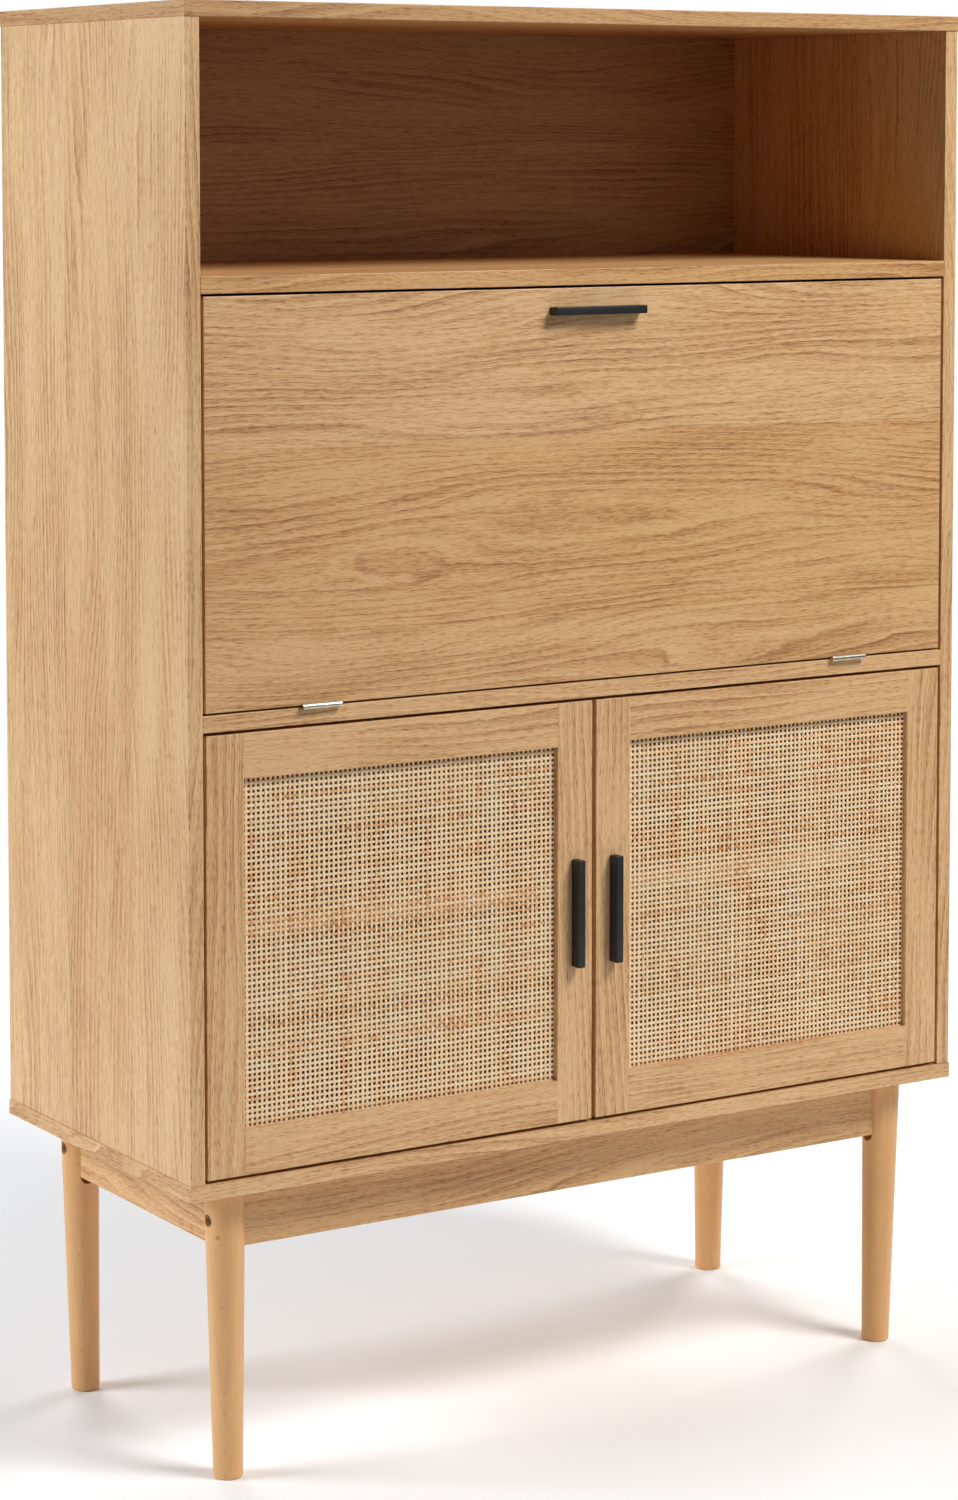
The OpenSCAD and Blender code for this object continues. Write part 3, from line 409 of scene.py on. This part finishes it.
def finish_piece(piece, node, material, smooth_below=16):
    """Gives a piece its material, hides the node it stands for, and puts it on the body that the node
    rides on.
    """
    only(piece)
    bpy.ops.object.shade_smooth_by_angle(angle=math.radians(smooth_below))
    piece.data.materials.clear()
    piece.data.materials.append(material)
    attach(piece, BODY_OF[node])
    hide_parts(node)


# %% Foiled boards
EDGE_BAND_ROUND = 0.6 * MM
SHORTEST_EASED = 12 * MM

for node, foil in FOILS.items():
    board = whole_copy(node, node + "_foiled")
    axes = "X" if node.endswith("rails") else "XYZ"
    eased = ease(
        board, lambda edge, axes=axes: is_long_corner(edge, SHORTEST_EASED, axes), EDGE_BAND_ROUND
    )
    moved = keep_inside(board, node)
    finish_piece(board, node, foil)
    print(board.name, "edges eased:", eased, "faces:", len(board.data.polygons), "points kept in:", moved)

# %% [markdown]
# ## Turned legs
# The legs are pale solid wood, turned to a taper and set leaning out a little. Solid wood shows
# faint streaks, tiny pores and a few pin knots rather than bold rings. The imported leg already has
# its broken foot, apron slots and bolt hole, so a copy only needs one smooth skin.


# %% Leg wood and legs
def leg_wood(name, seed):
    """Pale solid wood with its grain upright."""
    finish, tree, shader = new_finish(name, 0.42)
    axes = millimetres(tree)
    round_about = calc(tree, "ADD", axes["X"], calc(tree, "MULTIPLY", axes["Y"], 1.3))
    streaks = stretched_noise(tree, axes["Z"], round_about, 210, 9, seed, 3.0, 0.55)
    fibres = stretched_noise(tree, axes["Z"], round_about, 45, 1.1, seed + 2, 2.0, 0.6)
    pores = stretched_noise(tree, axes["Z"], round_about, 9, 0.5, seed + 4, 1.0, 0.5)
    shown = ramp(tree, streaks, (0.25, (0.820, 0.468, 0.195)), (0.75, (0.715, 0.370, 0.140)))
    fibre_tone = ramp(tree, fibres, (0.45, 0.0), (0.75, 1.0))
    shown = tint(tree, shown, (0.560, 0.330, 0.140), calc(tree, "MULTIPLY", fibre_tone, 0.35))
    pore_tone = ramp(tree, pores, (0.62, 0.0), (0.72, 1.0))
    shown = tint(tree, shown, (0.420, 0.220, 0.090), calc(tree, "MULTIPLY", pore_tone, 0.35))
    spot_place = add(tree, "CombineXYZ", {"X": axes["X"], "Y": axes["Y"], "Z": axes["Z"]}).outputs[0]
    spots = add(tree, "TexVoronoi", {"Vector": spot_place, "Scale": 0.016}).outputs["Distance"]
    knot = ramp(tree, spots, (0.015, 1.0), (0.055, 0.0), ease="EASE")
    shown = tint(tree, shown, (0.340, 0.135, 0.045), calc(tree, "MULTIPLY", knot, 0.60))
    tree.links.new(shown, shader.inputs["Base Color"])
    relief(tree, shader, calc(tree, "MULTIPLY", pore_tone, -1.0), 0.2, 0.0002)
    return finish


LEG_WOOD = leg_wood("pale turned wood", 5.0)

for node in ("leg_front_left", "leg_front_right", "leg_rear_left", "leg_rear_right"):
    leg = whole_copy(node, node + "_turned")
    finish_piece(leg, node, LEG_WOOD, 30)
    print(leg.name, "faces:", len(leg.data.polygons))

# %% [markdown]
# ## Woven cane
# The door panels are cane: flat peeled strips woven one over, one under, in an open square weave.
# A printed pattern would look flat as soon as the light comes from the side, so every strip is
# real. One strip is made from a six-sided ring that is pulled along and moved in and out as
# it passes the crossing strips. It is copied along its own length, then side by side with every
# second strip turned over. The strips then wander a little, because cane is a plant.

# %% Cane strips
STRIP_WIDTH = 3.0 * MM
STRIP_THICKNESS = 0.50 * MM
STRIP_PITCH = 5.25 * MM
STRIP_SWING = 0.30 * MM
STRIP_WANDER = 0.18 * MM
OVER_AND_UNDER = ((0.25, 1), (0.75, 1), (1.25, -1), (1.75, -1), (2.0, 0))


def repeat(piece, count, step, merge=False):
    """Copies a piece side by side with an array modifier and applies it."""
    only(piece)
    array = piece.modifiers.new("repeat", "ARRAY")
    array.count = count
    array.use_relative_offset = False
    array.use_constant_offset = True
    array.constant_offset_displace = step
    array.use_merge_vertices = merge
    array.merge_threshold = WELD_DISTANCE
    bpy.ops.object.modifier_apply(modifier=array.name)


def even_count(length):
    """The even number of strips or crossings that fits a length best."""
    return 2 * round(length / (2 * STRIP_PITCH))


def one_strip(name, pitch, crossings, first_side):
    """One strip up the Z axis from the origin, passing over and under at every crossing."""
    bpy.ops.object.select_all(action="DESELECT")
    bpy.ops.mesh.primitive_circle_add(vertices=6, radius=0.5)
    strip = bpy.context.active_object
    strip.name = name
    bpy.ops.object.mode_set(mode="EDIT")
    bpy.ops.mesh.select_all(action="SELECT")
    bpy.ops.transform.resize(value=(STRIP_WIDTH, STRIP_THICKNESS * 1.15, 1.0))
    height, swing = 0.0, 0.0
    for share, side in OVER_AND_UNDER:
        next_height, next_swing = share * pitch, side * first_side * STRIP_SWING
        move = (0.0, next_swing - swing, next_height - height)
        bpy.ops.mesh.extrude_region_move(TRANSFORM_OT_translate={"value": move})
        height, swing = next_height, next_swing
    bpy.ops.object.mode_set(mode="OBJECT")
    repeat(strip, crossings // 2, (0.0, 0.0, 2 * pitch), merge=True)
    bpy.ops.object.mode_set(mode="EDIT")
    bpy.ops.mesh.select_all(action="SELECT")
    bpy.ops.mesh.fill_holes(sides=6)
    bpy.ops.mesh.select_all(action="SELECT")
    bpy.ops.mesh.normals_make_consistent(inside=False)
    bpy.ops.object.mode_set(mode="OBJECT")
    return strip


def strip_field(name, spacing, strips, crossing_pitch, crossings, first_side, seed):
    """All the strips that run one way, side by side along X, each with its own tone and wander."""
    field = one_strip(name, crossing_pitch, crossings, first_side)
    turned = one_strip(name + "_next", crossing_pitch, crossings, -first_side)
    turned.data.transform(Matrix.Translation((spacing, 0.0, 0.0)))
    only(field)
    turned.select_set(True)
    bpy.ops.object.join()
    field.data.transform(Matrix.Translation((spacing / 2, 0.0, 0.0)))
    repeat(field, strips // 2, (2 * spacing, 0.0, 0.0))
    chance = np.random.default_rng(seed)
    places = read_points(field)
    which = np.clip((places[:, 0] / spacing).astype(int), 0, strips - 1)
    centre = (which + 0.5) * spacing
    width = chance.normal(1.0, 0.07, strips)[which]
    phase = chance.uniform(0.0, 6.3, strips)[which]
    shift = chance.normal(0.0, 0.35, strips)[which] + 0.6 * np.sin(places[:, 2] * 31 + phase)
    places[:, 0] = centre + (places[:, 0] - centre) * width + STRIP_WANDER * shift
    write_points(field, places)
    tone = chance.beta(1.3, 2.1, strips).astype(np.float32)[which]
    attribute = field.data.attributes.new("strip_tone", "FLOAT", "POINT")
    attribute.data.foreach_set("value", tone)
    return field


def cane_finish(name, grain, across, seed):
    """Peeled cane: pale and waxy, with browner strips, short stained lengths and broad patches."""
    finish, tree, shader = new_finish(name, 0.4, Specular_IOR_Level=0.25)
    axes = millimetres(tree)
    tone = add(tree, "Attribute", attribute_name="strip_tone").outputs["Fac"]
    lengths = stretched_noise(tree, axes[grain], axes[across], 30, 5.2, seed, 2.0, 0.6)
    patches = stretched_noise(tree, axes[grain], axes[across], 120, 45, seed + 4, 3.0, 0.6)
    fibres = stretched_noise(tree, axes[grain], axes[across], 9, 0.35, seed + 8, 2.0, 0.6)
    age = calc(tree, "MULTIPLY", tone, 0.45)
    age = calc(tree, "MULTIPLY_ADD", calc(tree, "SUBTRACT", lengths, 0.5), 1.3, age)
    age = calc(tree, "MULTIPLY_ADD", calc(tree, "SUBTRACT", patches, 0.5), 0.9, age)
    shown = ramp(
        tree,
        calc(tree, "ADD", age, 0.08),
        (0.0, (0.985, 0.790, 0.510)),
        (0.36, (0.980, 0.665, 0.375)),
        (0.64, (0.820, 0.420, 0.190)),
        (1.0, (0.440, 0.175, 0.065)),
    )
    fibre_tone = ramp(tree, fibres, (0.45, 0.0), (0.75, 1.0))
    shown = tint(tree, shown, (0.420, 0.235, 0.100), calc(tree, "MULTIPLY", fibre_tone, 0.20))
    tree.links.new(shown, shader.inputs["Base Color"])
    tree.links.new(calc(tree, "MULTIPLY_ADD", fibre_tone, 0.18, 0.36), shader.inputs["Roughness"])
    relief(tree, shader, fibres, 0.3, 0.0001)
    return finish


# %% Cane panels
UPRIGHT_CANE = cane_finish("cane upright strips", "Z", "X", 3.0)
LEVEL_CANE = cane_finish("cane level strips", "X", "Z", 7.0)


def cane_panel(side, seed):
    """Upright and level strips in one door, in the space that the cane node holds."""
    node = f"door_{side}_rattan"
    low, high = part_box(node)
    size = high - low
    middle = (low.y + high.y) / 2
    uprights, levels = even_count(size.x), even_count(size.z)
    gap_x, gap_z = size.x / uprights, size.z / levels
    upright = strip_field(f"door_{side}_cane_upright", gap_x, uprights, gap_z, levels, 1, seed)
    upright.data.transform(Matrix.Translation((low.x, middle, low.z)))
    level = strip_field(f"door_{side}_cane_level", gap_z, levels, gap_x, uprights, 1, seed + 1)
    quarter = Matrix(((0, 0, 1, 0), (0, 1, 0, 0), (-1, 0, 0, 0), (0, 0, 0, 1)))
    level.data.transform(Matrix.Translation((low.x, middle, high.z)) @ quarter)
    for strips, finish in ((upright, UPRIGHT_CANE), (level, LEVEL_CANE)):
        finish_piece(strips, node, finish, 50)
        triangles = sum(len(face.vertices) - 2 for face in strips.data.polygons)
        print(strips.name, "triangles:", triangles)
    return uprights, levels


for side, seed in (("left", 100), ("right", 200)):
    print(side, "door strips upright and level:", cane_panel(side, seed))

# %% [markdown]
# ## Powder-coated pulls
# Each pull is a solid square bar with a matt black powder coat. Powder coat has a very fine
# orange-peel skin, and it rounds every corner slightly, which gives a thin grey glint.


# %% Black coat and pulls
def powder_coat(name):
    """Matt black coating with a fine pebbled skin."""
    finish, tree, shader = new_finish(name, 0.5)
    axes = millimetres(tree)
    skin = stretched_noise(tree, axes["X"], axes["Z"], 0.6, 0.6, axes["Y"], 2.0, 0.5)
    worn = stretched_noise(tree, axes["X"], axes["Z"], 14, 14, 2.0, 2.0, 0.5)
    shown = ramp(tree, worn, (0.3, (0.009, 0.009, 0.010)), (0.7, (0.015, 0.015, 0.016)))
    tree.links.new(shown, shader.inputs["Base Color"])
    tree.links.new(calc(tree, "MULTIPLY_ADD", skin, 0.2, 0.38), shader.inputs["Roughness"])
    relief(tree, shader, skin, 0.3, 0.0001)
    return finish


BLACK_COAT = powder_coat("black powder coat")
PULL_ROUND = 0.7 * MM


def pull_bar(node):
    """A solid pull from a cube: sized to its node, then rounded on every edge."""
    low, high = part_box(node)
    bpy.ops.object.select_all(action="DESELECT")
    bpy.ops.mesh.primitive_cube_add(size=1.0)
    bar = bpy.context.active_object
    bar.name = node + "_bar"
    bpy.ops.object.mode_set(mode="EDIT")
    bpy.ops.mesh.select_all(action="SELECT")
    bpy.ops.transform.resize(value=high - low)
    bpy.ops.transform.translate(value=(low + high) / 2)
    bpy.ops.mesh.bevel(offset=PULL_ROUND, segments=3, affect="EDGES")
    bpy.ops.object.mode_set(mode="OBJECT")
    finish_piece(bar, node, BLACK_COAT, 30)
    return bar


for node in ("flap_handle", "door_left_handle", "door_right_handle"):
    pull = pull_bar(node)
    print(pull.name, "faces:", len(pull.data.polygons))

# %% [markdown]
# ## Metal, plastic, back board and small wood
# The fittings keep their exact imported shapes and get the finish that they have in life. Plated
# steel is never one flat grey: it has fine polishing lines and cloudy patches of dullness.
# The back boards show the oak print towards the room, darkened as painted shade for the dim bay, and raw
# pressed fibre behind.


# %% Finishes of the fittings
def plated_steel(name, bright, dull, roughness, line_length):
    """Plated metal with polishing lines and a slightly cloudy shine."""
    finish, tree, shader = new_finish(name, roughness, Metallic=1.0)
    axes = millimetres(tree)
    across = calc(tree, "ADD", axes["Y"], axes["Z"])
    lines = stretched_noise(tree, axes["X"], across, line_length, 0.12, 1.0, 2.0, 0.6)
    cloud = stretched_noise(tree, axes["X"], across, 7, 7, 3.0, 2.0, 0.5)
    tree.links.new(ramp(tree, cloud, (0.3, bright), (0.7, dull)), shader.inputs["Base Color"])
    gloss = calc(tree, "MULTIPLY_ADD", lines, 0.16, roughness - 0.06)
    tree.links.new(gloss, shader.inputs["Roughness"])
    relief(tree, shader, lines, 0.12, 0.00005)
    return finish


def moulded_plastic(name):
    """Black moulded plastic with a fine spark-eroded texture."""
    finish, tree, shader = new_finish(name, 0.55)
    axes = millimetres(tree)
    grain = stretched_noise(tree, axes["X"], axes["Z"], 0.4, 0.4, axes["Y"], 2.0, 0.6)
    shown = ramp(tree, grain, (0.3, (0.022, 0.022, 0.022)), (0.7, (0.034, 0.034, 0.035)))
    tree.links.new(shown, shader.inputs["Base Color"])
    relief(tree, shader, grain, 0.3, 0.0001)
    return finish


def back_board(name, seed, print_side_y):
    """Thin board: oak print on the room side, darkened as painted shade, and pressed brown fibre on the
    back.
    """
    # The print is darkened (factor 0.74, planks fully deepened) as painted shade for the inside of the
    # open bay.
    finish = oak_foil(name, "X", "Z", seed, (1050.0, 1260.0), (1.0, 0.85, 1.0), 14.0, 0.74)
    tree = finish.node_tree
    shader = tree.nodes["Principled BSDF"]
    printed = shader.inputs["Base Color"].links[0].from_socket
    axes = millimetres(tree)
    fibre = stretched_noise(tree, axes["X"], axes["Z"], 2.6, 1.8, seed, 4.0, 0.7)
    flecks = stretched_noise(tree, axes["X"], axes["Z"], 11, 7, seed + 3, 2.0, 0.6)
    mottling = stretched_noise(tree, axes["X"], axes["Z"], 210, 120, seed + 6, 4.0, 0.6)
    mixed = calc(tree, "MULTIPLY_ADD", mottling, 0.45, calc(tree, "MULTIPLY", fibre, 0.6))
    raw = ramp(tree, mixed, (0.38, (0.225, 0.122, 0.058)), (0.68, (0.400, 0.252, 0.138)))
    fleck_tone = calc(tree, "MULTIPLY", ramp(tree, flecks, (0.60, 0.0), (0.72, 1.0)), 0.55)
    raw = tint(tree, raw, (0.130, 0.066, 0.030), fleck_tone)
    behind = calc(tree, "GREATER_THAN", axes["Y"], print_side_y)
    tree.links.new(tint(tree, printed, raw, behind), shader.inputs["Base Color"])
    return finish


back_low, back_high = (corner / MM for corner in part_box("back_panel_upper"))
BACK_BOARD = back_board("back board", 61.0, (back_low.y + back_high.y) / 2)
NICKEL = plated_steel("bright nickel", (0.66, 0.61, 0.50), (0.50, 0.46, 0.37), 0.34, 30)
ZINC = plated_steel("bright zinc", (0.66, 0.67, 0.68), (0.56, 0.57, 0.58), 0.34, 12)
STEEL = plated_steel("dull steel", (0.42, 0.42, 0.42), (0.32, 0.32, 0.33), 0.42, 12)
PLASTIC = moulded_plastic("black plastic")
BEAD_WOOD = oak_foil("bead wood", "Z", "X", 71.0, (), (0.3,), 6.0)

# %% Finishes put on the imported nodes
FINISH_WORDS = (
    ("back_panel", BACK_BOARD),
    ("dowels", LEG_WOOD),
    ("beads", BEAD_WOOD),
    ("magnetic_catch", PLASTIC),
    ("leg_bolts", STEEL),
    ("barrel_nuts", STEEL),
    ("base_bolts", STEEL),
    ("flap_hinge", NICKEL),
    ("stay_rod", NICKEL),
)

painted = []
for node, cad_object in frame["nodes"].items():
    if cad_object.hide_render:
        continue
    matching = [finish for word, finish in FINISH_WORDS if word in node]
    cad_object.data.materials.clear()
    cad_object.data.materials.append(matching[0] if matching else ZINC)
    painted.append(node)
print("packed nodes that stay:", len(painted), painted)

# %% [markdown]
# ## Studio
# The desk stands on a plain pale floor that fades into a white surround, so no horizon shows.
# The light is large and soft. The key comes from high up on the right, so the open bay stays
# dark and every pull throws its shade down to the left. Softer sheets light the other sides.


# %% Floor, surround and lights
FLOOR_SIZE = 9.0
FLOOR_GREY = 0.90
FADE_START, FADE_END = 0.22, 0.62  # shares of the way from the middle to the floor's edge
SURROUND_LIGHT = 0.04

# Name, place, the point it faces, size in metres, watts and colour.
LIGHTS = (
    ("key", (1.4, -2.4, 3.7), (0.0, -0.2, 0.6), 1.4, 146.0, (1.0, 1.0, 1.0)),
    ("front fill", (1.2, -4.4, 0.9), (0.0, 0.0, 0.5), 2.4, 9.0, (1.0, 1.0, 1.0)),
    ("left", (-3.2, 1.1, 1.9), (-0.4, 0.0, 0.7), 1.6, 98.0, (0.94, 1.0, 1.08)),
    ("right", (3.2, 1.3, 2.0), (0.4, 0.0, 0.7), 1.8, 60.0, (1.0, 1.0, 1.0)),
    ("rear", (0.6, 3.8, 2.2), (0.0, 0.2, 0.7), 2.0, 70.0, (1.0, 1.0, 1.0)),
)


def pale_floor():
    """A wide floor that is solid near the desk and fades out further away."""
    bpy.ops.object.select_all(action="DESELECT")
    bpy.ops.mesh.primitive_plane_add(size=FLOOR_SIZE)
    floor = bpy.context.active_object
    floor.name = "floor"
    finish, tree, shader = new_finish("pale floor", 0.7)
    shader.inputs["Base Color"].default_value = (FLOOR_GREY, FLOOR_GREY, FLOOR_GREY, 1.0)
    place = add(tree, "TexCoord").outputs["Object"]
    away = add(tree, "VectorMath", {0: place}, operation="LENGTH").outputs["Value"]
    share = calc(tree, "DIVIDE", away, FLOOR_SIZE / 2)
    fade = ramp(tree, share, (FADE_START, 0.0), (FADE_END, 1.0), ease="EASE")
    clear = add(tree, "BsdfTransparent").outputs[0]
    mixed = add(tree, "MixShader", {0: fade, 1: shader.outputs[0], 2: clear}).outputs[0]
    tree.links.new(mixed, tree.nodes["Material Output"].inputs["Surface"])
    floor.data.materials.append(finish)
    return floor


def soft_light(name, place, aim, size, watts, colour):
    """A square soft box at a place, turned to face a point."""
    data = bpy.data.lights.new(name, "AREA")
    data.shape = "SQUARE"
    data.size = size
    data.energy = watts
    data.color = colour
    lamp = bpy.data.objects.new(name, data)
    bpy.context.scene.collection.objects.link(lamp)
    lamp.location = place
    lamp.rotation_euler = (Vector(aim) - Vector(place)).to_track_quat("-Z", "Y").to_euler()
    return lamp


world = bpy.data.worlds.new("white surround")
bpy.context.scene.world = world
world.use_nodes = True
surround = world.node_tree.nodes["Background"]
seen = add(world.node_tree, "LightPath").outputs["Is Camera Ray"]
strength = calc(world.node_tree, "MULTIPLY_ADD", seen, 1.0 - SURROUND_LIGHT, SURROUND_LIGHT)
surround.inputs["Color"].default_value = (1.0, 1.0, 1.0, 1.0)
world.node_tree.links.new(strength, surround.inputs["Strength"])

pale_floor()
for light in LIGHTS:
    soft_light(*light)
bpy.context.scene.view_settings.view_transform = "Standard"
print("stage set with", len(LIGHTS), "lights")
